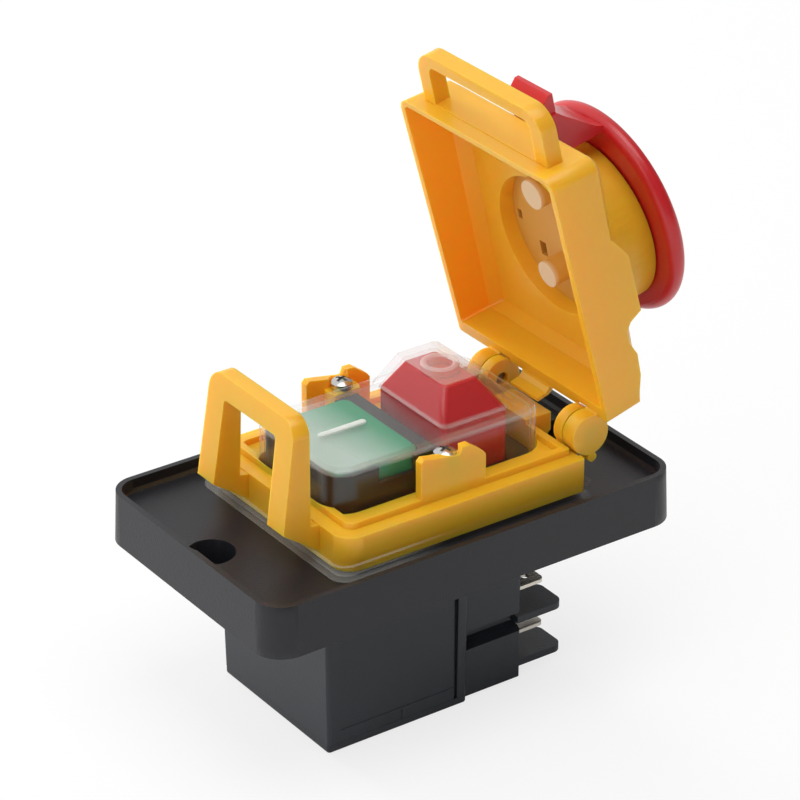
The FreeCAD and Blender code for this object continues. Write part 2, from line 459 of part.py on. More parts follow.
og = 0.45
collar = prism(BOOT_X0 - og - 1.6, BOOT_X1 + og + 1.6, -BOOT_HALF - og - 1.6, BOOT_HALF + og + 1.6, 0, 60,
               BOOT_R + og)
posts = []
for side in (-1, 1):
    y0, y1 = sorted((side * (BOOT_HALF + og), side * POST_OUT))
    front = sorted((side * (POST_OUT - POST_T), side * POST_OUT))
    brow = POST_HALF - 0.8
    post = slab_xz(((-POST_HALF, bz), (-POST_HALF, POST_TOP - 0.8), (-brow, POST_TOP),
                    (POST_STEP_X - 0.7, POST_DIP),
                    (POST_STEP_X, POST_DIP), (POST_STEP_X + 0.6, POST_TOP), (POST_CROWN_X, POST_TOP),
                    (brow, POST_EDGE),
                    (POST_HALF, POST_EDGE - 1.0), (POST_HALF, bz)), *front)
    boss = cyl(0, side * SCREW_Y, bz, POST_BOSS_R, SCREW_SEAT - bz).common(box(-20, 20, y0, y1, 0, 60))
    post = post.fuse(boss)
    posts.append(post)
frame = frame.cut(inside.cut(collar).cut(posts[0]).cut(posts[1])).fuse([lip] + posts)
frame = frame.cut(prism(BOOT_X0 - og, BOOT_X1 + og, -BOOT_HALF - og, BOOT_HALF + og, 0, 60, BOOT_R + og))
for side in (-1, 1):
    frame = frame.cut(cyl(0, side * SCREW_Y, 0, SCREW_R + 0.25, 60))
    frame = frame.cut(cyl(0, side * SCREW_Y, SCREW_SEAT, SEAT_R, 20))
flank = slab_xz(((BEZ_X0 + 0.8, ARCH_FOOT_Z), (BEZ_X0, ARCH_FOOT_Z), (ARCH_FRONT0, ARCH_NOSE_Z),
                 (ARCH_FRONT1, ARCH_TOP),
                 (ARCH_BACK1, ARCH_TOP), (ARCH_BACK0, BEZ_LEDGE + 0.2), (BEZ_X0 + 0.8, BEZ_LEDGE - 0.4)),
                -30, 30)
face = slab_yz(((-ARCH_HALF0, 0), (ARCH_HALF0, 0), (ARCH_HALF1, ARCH_TOP), (-ARCH_HALF1, ARCH_TOP)), -60, 0)
face = rounded(face, ARCH_R, lambda e: all(abs(v.Z - ARCH_TOP) < 1e-6 for v in e.Vertexes) and e.Length > 50)
in0, in1 = ARCH_HALF0 - ARCH_LEG0, ARCH_HALF1 - ARCH_LEG1
window = slab_yz(((-in0, -1), (in0, -1), (in1, ARCH_TOP - ARCH_BAR), (-in1, ARCH_TOP - ARCH_BAR)), -60, 0)
window = rounded(window, 1.0, lambda e: all(abs(v.Z - ARCH_TOP + ARCH_BAR) < 1e-6 for v in e.Vertexes)
                 and e.Length > 50)
window = window.cut(box(BEZ_X0, 60, -60, 60, -60, 60))
arch = flank.common(face).cut(window)
arch = arch.cut(box(BEZ_X0 + cut_w - 1.4, 60, -60, 60, 0, BEZ_LEDGE - BEZ_TOP))
lip_top = fz0 + FLANGE_LIP
for q in HINGE:
    frame = frame.cut(cyl(PIN_X, q[0] - RUN, PIN_Z, BARREL_R + RUN, q[1] - q[0] + 2 * RUN, V(0, 1, 0)))
rest_z = PIN_Z - REST_DROP
rest = slab_xz(((BEZ_X1 - 1.0, bz + 2.2), (BEZ_X1 + 0.2, lip_top + 0.4), (PIN_X + REST_X, lip_top + 3.4),
                (PIN_X + REST_X, rest_z),
                (BOOT_X1 + og, rest_z), (BOOT_X1 + og, BEZ_LEDGE - 0.5), (BEZ_X1 - 1.0, BEZ_LEDGE - 0.5)),
               REST_Y0, REST_Y1)
frame = frame.fuse([arch, rest])
for q in HINGE:
    ear = cyl(PIN_X, q[2], PIN_Z, BARREL_R, q[3] - q[2], V(0, 1, 0))
    web = slab_xz(((BEZ_X1 - 1.0, bz + 2.2), (BEZ_X1 + 0.2, lip_top + 0.4), (PIN_X + 2.6, PIN_Z - 3.79),
                   (PIN_X, PIN_Z),
                   (PIN_X - 3.2, PIN_Z + 3.3), (BEZ_X1 - 1.0, BEZ_LEDGE)), q[2], q[3])
    frame = frame.fuse([ear, web]).cut(cyl(PIN_X, q[2] - 1, PIN_Z, PIN_R + PIN_FIT, q[3] - q[2] + 2,
                                           V(0, 1, 0)))
save("bezel_frame", frame.removeSplitter())

# Two cross recess screws, each its own solid
screws = []
for side in (-1, 1):
    y = side * SCREW_Y
    head = Part.makeSphere(4.0, V(0, y, SCREW_SEAT + SCREW_HEAD_H - 4.0))
    head = head.common(cyl(0, y, SCREW_SEAT + TOUCH, SCREW_HEAD_R, SCREW_HEAD_H))
    screw = head.fuse(cyl(0, y, SCREW_END, SCREW_R, SCREW_SEAT + 0.5 - SCREW_END))
    for a in (20, 110):
        slot = box(-1.4, 1.4, -0.35, 0.35, SCREW_SEAT + SCREW_HEAD_H - 1.0, SCREW_SEAT + 5)
        slot.rotate(V(0, 0, 0), V(0, 0, 1), a)
        slot.translate(V(0, y, 0))
        screw = screw.cut(slot)
    screws.append(screw.removeSplitter())
save("bezel_screws", *screws)
pins = []
for q in HINGE:
    y0, y1 = min(q) + PIN_SINK, max(q) - PIN_SINK
    pins.append(cyl(PIN_X, y0, PIN_Z, PIN_R, y1 - y0, V(0, 1, 0)))
save("hinge_pins", *pins)

# Flap: drafted lid with a humped top, drum for the latch, hinge barrels and pull loop
fd = FLAP_DRAFT
fw, ci, ce = FLAP_WALL, CROWN_IN, CROWN_END
corner = (FLAP_R, 0.8, 0.8, FLAP_R)
hs = FLAP_HALF - fd / 2
flap = taper((fx(FLAP_S1), fx(FLAP_S0), -FLAP_HALF, FLAP_HALF, fz(0), corner),
             (fx(FLAP_S1 - fd), fx(FLAP_S0), -hs, hs, fz(FLAP_DEEP), corner),
             (fx(FLAP_S1 - fd - ce / 3), fx(FLAP_S0 + ce / 3), -hs + ci * 0.4, hs - ci * 0.4,
              fz(CROWN_SHOULDER), corner),
             (fx(FLAP_S1 - fd - ce), fx(FLAP_S0 + ce), -hs + ci, hs - ci, fz(CROWN_T), corner))
hump = slab_xz([(fx(u), fz(t)) for u, t in HUMP], -hs, hs)
rump = slab_xz([(fx(u), fz(t)) for u, t in RUMP], -hs, hs)
drum = cyl(fx(DRUM_S), 0, fz(FLAP_DEEP - 1.0), DRUM_R, DRUM_TOP - FLAP_DEEP + 1.0)
flap = flap.fuse([hump, rump, drum])
inner = (FLAP_R - fw, 0.5, 0.5, FLAP_R - fw)
far = FLAP_S1 - fw - fd
near = FLAP_S0 + FLAP_END
hi = hs - fw - fd
cavity = taper((fx(FLAP_S1 - fw), fx(near), -FLAP_HALF + fw, FLAP_HALF - fw, fz(-1), inner),
               (fx(far), fx(near + 0.4), -hi, hi, fz(FLAP_DEEP - DRUM_ROOF), inner),
               (fx(far - ce / 2), fx(near + ce / 3), -hi + ci / 2, hi - ci / 2, fz(CEILING), inner))
flap = flap.cut(cavity).cut(cyl(fx(DRUM_S), 0, fz(0), DRUM_R - DRUM_WALL, DRUM_TOP - DRUM_ROOF))
flap = flap.cut(slab_xz(((fx(FLAP_S1), fz(0)), (fx(FLAP_S0), fz(FLAP_RISE)), (fx(0), fz(FLAP_RISE)),
                         (fx(0), fz(-3)),
                         (fx(FLAP_S1), fz(-3))), -60, 60))
flap = flap.cut(cyl(fx(FOOT_S), 0, fz(0), FOOT_R + RUN, DISC_T1 + TOUCH))
slot_r = NECK_R + RUN
flap = flap.cut(prism(fx(HEAD_S) - slot_r, fx(HEAD_S) + slot_r + LATCH_TRAVEL, -slot_r, slot_r,
                      fz(DRUM_TOP - 4),
                      fz(DRUM_TOP + 1), slot_r - 0.01))
loop = prism(fx(LOOP_S1), fx(FLAP_S1 - 1.0), -LOOP_HALF, LOOP_HALF, fz(LOOP_T0), fz(LOOP_T1),
             (LOOP_R, 0.1, 0.1, LOOP_R))
loop = loop.cut(prism(fx(SLOT_S1), fx(FLAP_S1 + 0.0), -SLOT_HALF, SLOT_HALF, 0, 60, (2.0, 0.1, 0.1, 2.0)))
flap = flap.fuse(loop)
for q in HINGE:
    flap = flap.cut(cyl(PIN_X, q[2] - RUN, PIN_Z, BARREL_R + RUN, q[3] - q[2] + 2 * RUN, V(0, 1, 0)))
flap = flap.fuse(slab_xz([(fx(u), fz(t)) for u, t in HEEL], HEEL_Y0, HEEL_Y1))
for y0, y1 in [q[:2] for q in HINGE]:
    barrel = cyl(PIN_X, y0, PIN_Z, BARREL_R, y1 - y0, V(0, 1, 0))
    ear = slab_xz(((fx(FLAP_S0 + 1.0), fz(FLAP_RISE)), (fx(FLAP_S0 + 1.0), fz(8.0)),
                   (fx(FLAP_S0), fz(8.0)), (fx(0.6), fz(4.5)),
                   (fx(0), fz(0)), (fx(2.0), fz(-4.1))), y0, y1)
    flap = flap.fuse([barrel, ear])
for q in HINGE:
    y0, y1 = min(q) + PIN_SINK - TOUCH, max(q) - PIN_SINK + TOUCH
    flap = flap.cut(cyl(PIN_X, y0, PIN_Z, PIN_R + PIN_FIT, y1 - y0, V(0, 1, 0)))
flap = lid(flap.removeSplitter())
for y in (HINGE[0][0], HINGE[1][1] - LUG_L):
    flap = flap.fuse(cyl(PIN_X + LUG_X, y, PIN_Z - LUG_Z, LUG_R, LUG_L, V(0, 1, 0)))
save("flap_lid", flap)

# Plate that closes the drum from inside, with the two feet that meet the buttons
disc = cyl(fx(DRUM_S), 0, fz(DISC_T0), DRUM_R - DRUM_WALL - TOUCH, DISC_T1 - DISC_T0)
disc = disc.fuse([cyl(fx(FOOT_S), 0, fz(FOOT_T), FOOT_R, DISC_T1 - FOOT_T),
                  cyl(fx(FOOT2_S), 0, fz(FOOT_T), FOOT_SHORT_R, DISC_T1 - FOOT_T)])
key = box(fx(KEY_S + KEY_L / 2), fx(KEY_S - KEY_L / 2), KEY_Y - KEY_W / 2, KEY_Y + KEY_W / 2,
          fz(DISC_T0 - 1), fz(DISC_T1 + 1))
nick = box(fx(NICK_S + NICK_L / 2), fx(NICK_S - NICK_L / 2), NICK_Y - NICK_W / 2, NICK_Y + NICK_W / 2,
           fz(DISC_T0 - 1), fz(DISC_T1 + 1))
disc = disc.cut(key).cut(nick)
save("foot_plate", lid(disc.removeSplitter()))

# Latch head: mushroom disc on a neck, with the sole inside the drum and the tab at the free end
hx0 = fx(HEAD_S)
rim_r = (HEAD_T1 - HEAD_T0) / 2
crown_r = ((HEAD_R - rim_r) ** 2 + (HEAD_CROWN - HEAD_T1) ** 2) / (2 * (HEAD_CROWN - HEAD_T1))
crown_a = math.asin((HEAD_R - rim_r) / crown_r) / 2
crown_mid = V(crown_r * math.sin(crown_a), 0, fz(HEAD_CROWN) - crown_r * (1 - math.cos(crown_a)))
profile = [Part.makeLine(V(0, 0, fz(HEAD_T0)), V(HEAD_R - rim_r, 0, fz(HEAD_T0))),
           Part.Arc(V(HEAD_R - rim_r, 0, fz(HEAD_T0)), V(HEAD_R, 0, fz(HEAD_T0) + rim_r),
                    V(HEAD_R - rim_r, 0, fz(HEAD_T1))).toShape(),
           Part.Arc(V(HEAD_R - rim_r, 0, fz(HEAD_T1)), crown_mid, V(0, 0, fz(HEAD_CROWN))).toShape(),
           Part.makeLine(V(0, 0, fz(HEAD_CROWN)), V(0, 0, fz(HEAD_T0)))]
head = Part.Face(Part.Wire(profile)).revolve(V(0, 0, 0), V(0, 0, 1), 360)
head.translate(V(hx0, 0, 0))
sole_top = DRUM_TOP - DRUM_ROOF - RUN
neck = cyl(hx0, 0, fz(sole_top - SOLE_T), NECK_R, HEAD_T0 - sole_top + SOLE_T + 1.0)
sole = cyl(hx0, 0, fz(sole_top - SOLE_T), SOLE_R, SOLE_T)
arm_s0 = DRUM_S + DRUM_R + LATCH_TRAVEL + RUN + 0.3
reach_t = CROWN_T + RUN + 0.2
root_t = (HEAD_T0 + HEAD_T1) / 2 + 0.3
root_s = HEAD_S + HEAD_R - (HEAD_T1 - HEAD_T0) / 2
tab_s0 = TAB_S1 - TAB_L
arm = slab_xz(((fx(arm_s0), fz(root_t)), (fx(arm_s0), fz(reach_t + TAB_EASE)),
               (fx(arm_s0 + TAB_EASE), fz(reach_t)),
               (fx(tab_s0), fz(reach_t)), (fx(tab_s0), fz(TAB_T1)), (fx(ARM_HIP_S), fz(ARM_HIP_T)),
               (fx(ARM_NECK_S), fz(ARM_NECK_T)), (fx(root_s), fz(root_t))), -ARM_HALF, ARM_HALF)
tab = slab_xz(((fx(tab_s0 - 0.6), fz(TAB_T0)), (fx(TAB_S1 - TAB_EASE), fz(TAB_T0)),
               (fx(TAB_S1), fz(TAB_T0 + TAB_EASE)),
               (fx(TAB_S1), fz(TAB_T1)), (fx(tab_s0 - 0.6), fz(TAB_T1))), -TAB_HALF, TAB_HALF)
for piece in (arm, neck, sole, tab):
    head = head.fuse(piece)
save("latch_head", lid(head))
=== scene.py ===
"""Studio scene of a magnetic push button switch with a hinged stop flap.

The CAD nodes keep their shapes and get moulded plastic, clear vinyl and metal finishes here.
Units are metres in the shared frame: X toward the hinge, Y across the plate, Z out of the panel.
Named sizes are millimetres in the same frame.
"""
import math

import bpy
import numpy as np
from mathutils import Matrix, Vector


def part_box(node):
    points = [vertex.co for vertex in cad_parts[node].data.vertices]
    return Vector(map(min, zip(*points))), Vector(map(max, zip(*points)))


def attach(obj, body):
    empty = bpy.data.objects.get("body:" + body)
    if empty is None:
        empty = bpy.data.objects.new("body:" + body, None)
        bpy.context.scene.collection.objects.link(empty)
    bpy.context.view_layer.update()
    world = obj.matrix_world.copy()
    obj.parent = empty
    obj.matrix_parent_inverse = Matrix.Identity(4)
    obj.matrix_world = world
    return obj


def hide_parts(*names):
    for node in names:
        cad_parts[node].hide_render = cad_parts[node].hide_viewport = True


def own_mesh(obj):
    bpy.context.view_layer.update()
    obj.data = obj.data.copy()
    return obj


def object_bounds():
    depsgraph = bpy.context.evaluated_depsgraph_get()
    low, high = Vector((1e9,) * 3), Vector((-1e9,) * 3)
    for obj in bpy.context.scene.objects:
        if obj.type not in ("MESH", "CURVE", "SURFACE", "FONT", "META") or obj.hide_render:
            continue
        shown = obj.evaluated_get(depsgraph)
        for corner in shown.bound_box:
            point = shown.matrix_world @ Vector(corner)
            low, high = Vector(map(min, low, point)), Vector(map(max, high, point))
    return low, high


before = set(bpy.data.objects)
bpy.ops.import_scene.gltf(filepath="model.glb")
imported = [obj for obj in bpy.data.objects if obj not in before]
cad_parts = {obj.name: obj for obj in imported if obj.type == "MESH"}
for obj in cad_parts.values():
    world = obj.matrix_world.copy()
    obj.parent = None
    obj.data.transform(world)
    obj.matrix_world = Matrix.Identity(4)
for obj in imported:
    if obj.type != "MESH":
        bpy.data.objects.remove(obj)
cad_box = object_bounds()
MM = 0.001

# Heights on the clear boot: pressed flange, eased shoulder (where a highlight is painted), top over the
# start button, foot of the crown
FLANGE_TOP, SHOULDER_LOW, SHOULDER_HIGH, BOOT_TOP, CROWN_LOW = 14.5, 25.6, 28.1, 27.4, 34.0
DOME_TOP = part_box("clear_boot")[1][2] / MM

# Marks on the boot: the start bar and the stop ring
BAR_X0, BAR_X1, BAR_HALF, BAR_UP, BAR_SINK, BAR_R, BAR_EASE = -18.6, -6.8, 0.85, 0.35, 0.1, 0.8, 0.3
RING_X, RING_OUT, RING_IN, RING_UP, RING_SINK = 12.2, 4.2, 2.7, 0.4, 0.05

# Flap as built: pin line, angle above level in degrees, and where the painted highlight on the ends of the
# feet fades out
PIN_X, PIN_Z, FLAP_OPEN, PAINTED_LIGHT_END = 34.8, 21.2, 77.0, 12.4

# Springs: node, wire, turns, joint, height of the fixed end, share of the length kept at the joint's limit
SPRINGS = (
    ("start_spring", 0.9, 4, "start_press", 10.3, 0.705),
    ("stop_spring", 0.9, 4, "stop_press", 10.3, 0.735),
    ("armature_spring", 0.8, 5, "armature_pull", -20.4, 0.765),
)

# Edge rounding of the nodes that show
SOFT_EDGES = {
    "bezel_frame": 0.4, "flap_lid": 0.4, "latch_head": 0.3, "mounting_plate": 0.35, "base_housing": 0.25,
    "terminal_block": 0.25, "start_button": 0.25, "stop_button": 0.3, "foot_plate": 0.2, "clear_boot": 0.45,
}
WELD_GAP, SHARP_ANGLE = 0.002, 38.0

# Lamps: name, place and aim in metres, size in metres, watts, whether gloss mirrors the lamp
LAMPS = (
    ("left", (-0.95, -0.35, 0.8), (0.0, 0.0, 0.03), 0.8, 2.6, True),
    ("back", (-0.1, 1.2, 0.22), (0.01, 0.0, 0.04), 0.4, 12.0, False),
    ("top", (0.0, -0.2, 1.2), (0.01, 0.0, 0.03), 0.9, 7.0, True),
)
FLOOR_HALF = 3.0

# Camera: place and aim in metres, focal length in pixels of a picture so many pixels wide
EYE, AIM = (-0.40320, -0.57639, 0.40458), (0.034003, 0.045576, 0.0)
FOCAL_PIXELS, PICTURE_PIXELS, SENSOR = 3814.52, 800, 36.0


class Value:
    """A socket's value in a material; + - and * on either side, and ** with a number, add Math nodes."""

    def __init__(self, paint, socket):
        self.paint = paint
        self.socket = socket

    def _math(self, operation, first, second):
        return self.paint.node("ShaderNodeMath", {"operation": operation}, {0: first, 1: second})["Value"]

    def __add__(self, other):
        return self._math("ADD", self, other)

    def __radd__(self, other):
        return self._math("ADD", other, self)

    def __sub__(self, other):
        return self._math("SUBTRACT", self, other)

    def __rsub__(self, other):
        return self._math("SUBTRACT", other, self)

    def __mul__(self, other):
        return self._math("MULTIPLY", self, other)

    def __rmul__(self, other):
        return self._math("MULTIPLY", other, self)

    def __pow__(self, other):
        return self._math("POWER", self, other)


class Node:
    """A node whose outputs are read as node["Fac"]."""

    def __init__(self, paint, node):
        self.paint = paint
        self.node = node

    def __getitem__(self, name):
        return Value(self.paint, self.node.outputs[name])


class Paint:
    """One node tree, of a material or of the world."""

    def __init__(self, name, owner=None):
        self.owner = owner or bpy.data.materials.new(name)
        self.owner.use_nodes = True
        self.tree = self.owner.node_tree
        self.tree.nodes.clear()

    def node(self, kind, settings=None, sockets=None):
        """Add a node of this type, set its settings, then set or link its sockets."""
        made = self.tree.nodes.new(kind)
        for key, value in (settings or {}).items():
            setattr(made, key, value)
        for key, value in (sockets or {}).items():
            if isinstance(value, Value):
                self.tree.links.new(value.socket, made.inputs[key])
            else:
                made.inputs[key].default_value = value
        return Node(self, made)

    def place(self):
        """Object coordinates, in metres."""
        return self.node("ShaderNodeTexCoord")["Object"]

    def axes(self, vector):
        """The X, Y and Z of a vector."""
        return self.node("ShaderNodeSeparateXYZ", None, {"Vector": vector})

    def noise(self, per_metre, detail=2.0, rough=0.5):
        """Smooth noise, about 0.5 on average, with so many cells to the metre."""
        sockets = {"Vector": self.place(), "Scale": per_metre, "Detail": detail, "Roughness": rough}
        return self.node("ShaderNodeTexNoise", None, sockets)["Fac"]

    def clamp(self, amount):
        """The value held to 0..1."""
        return self.node("ShaderNodeClamp", None, {"Value": amount})["Result"]

    def mix(self, amount, first, second):
        """Colour between two colours."""
        mixed = self.node("ShaderNodeMix", {"data_type": "RGBA"}, {0: amount, 6: first, 7: second})
        return Value(self, mixed.node.outputs[2])

    def bump(self, height, distance, strength):
        """Normal of a skin whose height of 1 stands `distance` metres high."""
        sockets = {"Height": height, "Distance": distance, "Strength": strength}
        return self.node("ShaderNodeBump", None, sockets)["Normal"]

    def blend(self, share, first, second):
        """Surface between two shaders, as the tree's output."""
        both = self.node("ShaderNodeMixShader", None, {0: share, 1: first, 2: second})["Shader"]
        self.node("ShaderNodeOutputMaterial", None, {"Surface": both})
        return self.owner

    def surface(self, **sockets):
        """Principled surface as the tree's output; names use _ for a space."""
        named = {key.replace("_", " "): value for key, value in sockets.items()}
        shader = self.node("ShaderNodeBsdfPrincipled", None, named)["BSDF"]
        self.node("ShaderNodeOutputMaterial", None, {"Surface": shader})
        return self.owner


def rgb(red, green, blue):
    """Linear colour from 0..255 screen values."""
    def linear(level):
        level = level / 255
        return level / 12.92 if level <= 0.04045 else ((level + 0.055) / 1.055) ** 2.4
    return (linear(red), linear(green), linear(blue), 1.0)


def moulded(name, light, dark, rough, grain, depth, coat=0.0, glow=0.0, shine=0.5):
    """Moulded plastic: broad flow mottling between two shades, and a fine spark eroded skin.

    Shade = noise at about 25 mm; roughness = rough plus a little of the fine noise; the skin is noise
    with `grain` cells to the metre, `depth` metres high. `glow` is the share of light that thin walls
    let through."""
    paint = Paint(name)
    flow = paint.noise(40, 3.0)
    fine = paint.noise(grain, 2.0, 0.6)
    return paint.surface(Base_Color=paint.mix(flow, dark, light), Roughness=rough + (fine - 0.5) * 0.12,
                         Normal=paint.bump(fine, depth, 0.6), Specular_IOR_Level=shine,
                         Coat_Weight=coat, Coat_Roughness=0.12, Subsurface_Weight=glow,
                         Subsurface_Radius=(1.0, 0.35, 0.06), Subsurface_Scale=0.004)


def footed(name):
    """Yellow plastic like the lid, with a painted highlight at the ends of the feet: a paler colour there.

    The height over the lid's pin line, across the lid, is sin(open) (x - pin x) + cos(open) (z - pin z).
    The painted highlight is full at the end of the feet, 11.2 mm over that line, and fades out 1.2 mm
    further in."""
    paint = Paint(name)
    axes = paint.axes(paint.place())
    tilt = math.radians(FLAP_OPEN)
    height = (axes["X"] - PIN_X * MM) * math.sin(tilt) + (axes["Z"] - PIN_Z * MM) * math.cos(tilt)
    # painted highlight: the ends of the feet paler, standing in for light on their end faces
    painted_end_light = paint.clamp((PAINTED_LIGHT_END * MM - height) * 900.0)
    fine = paint.noise(1500, 2.0, 0.6)
    body = paint.mix(paint.noise(40, 3.0), rgb(216, 158, 66), rgb(226, 168, 74))
    return paint.surface(Base_Color=paint.mix(painted_end_light, body, rgb(236, 206, 164)),
                         Roughness=0.45 + (fine - 0.5) * 0.12, Normal=paint.bump(fine, 0.00002, 0.6))


def metal(name, light, dark, rough, lines):
    """Drawn or plated metal: fine lines along X from stretched noise set the shade and the roughness."""
    paint = Paint(name)
    sockets = {"Vector": paint.place(), "Scale": (60.0, lines, lines)}
    stretch = paint.node("ShaderNodeMapping", None, sockets)["Vector"]
    sockets = {"Vector": stretch, "Scale": 1.0, "Detail": 3.0}
    streak = paint.node("ShaderNodeTexNoise", None, sockets)["Fac"]
    return paint.surface(Base_Color=paint.mix(streak, dark, light), Metallic=1.0,
                         Roughness=rough + (streak - 0.5) * 0.15, Normal=paint.bump(streak, 0.00002, 0.3))


def vinyl(name):
    """Clear vinyl: a thin milky film under a gloss.

    The gloss is 0.025 + 0.6 (1 - cosine of the angle of view) to the fifth. The film is denser where it is
    seen edge on. On top toward the left it is whiter, a painted sheen of -0.5 - 80 x - 6 y (metres) held to
    0..1, times how far the face looks up. Along the eased shoulder it is whiter too, a painted highlight, by
    4 n (1 - n) with n the upward part of the normal, and it is whiter on the upward faces of the crown of
    the dome, fully so 2 mm above its foot. The flange, pressed on the plate, is clearer: half of both up to
    its top, all of both 2 mm above it."""
    paint = Paint(name)
    edge_on = paint.node("ShaderNodeLayerWeight", None, {"Blend": 0.5})["Facing"]
    axes = paint.axes(paint.place())
    rise = axes["Z"] * (1 / MM)
    upward = paint.axes(paint.node("ShaderNodeNewGeometry")["True Normal"])["Z"]
    up = paint.clamp(upward * 2.0 - 1.0)
    cloud = paint.noise(70, 3.0)
    # painted sheen: the film whiter on the tops toward the left, where the light falls
    painted_sheen = paint.clamp(-0.5 - axes["X"] * 80.0 - axes["Y"] * 6.0) * up
    # painted highlight: the film whiter along the eased shoulder
    shoulder_highlight_band = paint.clamp((rise - SHOULDER_LOW) * 1.5) * paint.clamp((SHOULDER_HIGH - rise) * 2.0)
    painted_shoulder_highlight = shoulder_highlight_band * paint.clamp(upward * (1 - upward) * 4.0)
    crown = paint.clamp((rise - CROWN_LOW) * 0.5) * up
    raised = 0.5 + paint.clamp((rise - FLANGE_TOP) * 0.5) * 0.5
    # film cover: edge-on density, painted sheen, painted shoulder highlight and the whiter crown
    cover = (0.005 + edge_on ** 3.0 * 0.15 + painted_sheen * 0.3 + painted_shoulder_highlight * 0.3 + crown * 0.26) * raised
    film = paint.node("ShaderNodeBsdfPrincipled", None, {
        "Base Color": paint.mix(cloud, rgb(216, 222, 221), rgb(236, 239, 238)), "Roughness": 0.3,
        "Normal": paint.bump(cloud, 0.0003, 0.2), "Alpha": cover})["BSDF"]
    gloss = paint.node("ShaderNodeBsdfGlossy", None, {
        "Color": (0.95, 0.97, 0.97, 1), "Roughness": 0.12})["BSDF"]
    return paint.blend((0.025 + edge_on ** 5.0 * 0.6) * raised, film, gloss)


def frosting(name, colour, cover):
    """Milky raised vinyl mark that lets the colour below through, a little cloudy."""
    paint = Paint(name)
    cloud = paint.noise(300, 2.0)
    return paint.surface(Base_Color=colour, Roughness=0.4, Alpha=cover + (cloud - 0.5) * 0.2)


charcoal = moulded("charcoal_plastic", rgb(32, 33, 38), rgb(25, 26, 31), 0.4, 2600, 0.00008, shine=0.42)
# A lighter copy of the charcoal plastic for the housing, cover and terminal block: painted light for their
# brighter lit faces
charcoal_painted_light = moulded("charcoal_plastic_painted_light", rgb(43, 46, 52), rgb(36, 39, 45), 0.4, 2600, 0.00008, shine=0.42)
black = moulded("black_plastic", rgb(24, 23, 22), rgb(18, 17, 16), 0.5, 2600, 0.00004)
yellow = moulded("yellow_plastic", rgb(241, 187, 44), rgb(235, 177, 34), 0.4, 1500, 0.00002, 0.1, 0.7)
footing = footed("foot_plastic")
red = moulded("red_plastic", rgb(206, 34, 40), rgb(192, 26, 32), 0.34, 1500, 0.00002, 0.2, 0.3)
green = moulded("green_plastic", rgb(34, 148, 104), rgb(24, 134, 92), 0.5, 1800, 0.00002, shine=0.2)
stop_red = moulded("stop_red_plastic", rgb(200, 36, 42), rgb(186, 28, 34), 0.5, 1500, 0.00002, shine=0.2)
natural = moulded("bobbin_plastic", rgb(226, 222, 208), rgb(212, 207, 190), 0.5, 1600, 0.00003)
white = frosting("start_mark_vinyl", rgb(236, 240, 238), 0.75)
frosted = frosting("stop_mark_vinyl", rgb(240, 222, 220), 0.4)
tin = metal("tinned_strip", rgb(226, 220, 208), rgb(190, 184, 172), 0.28, 2600)
zinc = metal("plated_steel", rgb(214, 214, 212), rgb(180, 180, 178), 0.24, 2200)
steel = metal("dark_steel", rgb(150, 150, 152), rgb(112, 112, 116), 0.34, 2600)
copper = metal("copper_wire", rgb(196, 112, 62), rgb(150, 78, 40), 0.3, 3000)
brass = metal("contact_brass", rgb(214, 178, 104), rgb(182, 144, 78), 0.3, 2600)
clear = vinyl("clear_vinyl")

FINISH = {
    charcoal: ("mounting_plate",),
    charcoal_painted_light: ("base_housing", "bottom_cover", "terminal_block"),
    black: ("button_guide",),
    yellow: ("bezel_frame", "flap_lid"),
    footing: ("foot_plate",),
    red: ("latch_head",),
    stop_red: ("stop_button",),
    green: ("start_button",),
    natural: ("coil_bobbin", "contact_carrier"),
    tin: ("spade_terminals",),
    zinc: ("bezel_screws", "fixed_contact_tips"),
    steel: ("hinge_pins", "magnet_core", "armature", "armature_spring", "start_spring", "stop_spring"),
    copper: ("coil_winding",),
    brass: ("contact_bridges",),
    clear: ("clear_boot",),
}
for finish, nodes in FINISH.items():
    for name in nodes:
        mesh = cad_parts[name].data
        mesh.materials.clear()
        mesh.materials.append(finish)


def grid_piece(name, points, material, body):
    """Mesh from a (rows, columns, 3) array of points in metres: quads between neighbours, columns closed."""
    rows, cols = points.shape[:2]
    index = np.arange(rows * cols).reshape(rows, cols)
    index = np.concatenate([index, index[:, :1]], axis=1)
    quads = np.stack([index[:-1, :-1], index[:-1, 1:], index[1:, 1:], index[1:, :-1]], axis=-1)
    mesh = bpy.data.meshes.new(name)
    mesh.from_pydata(points.reshape(-1, 3).tolist(), [], quads.reshape(-1, 4).tolist())
    mesh.materials.append(material)
    mesh.polygons.foreach_set("use_smooth", np.ones(len(mesh.polygons), dtype=bool))
    piece = bpy.data.objects.new(name, mesh)
    bpy.context.scene.collection.objects.link(piece)
    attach(piece, body)
    return piece


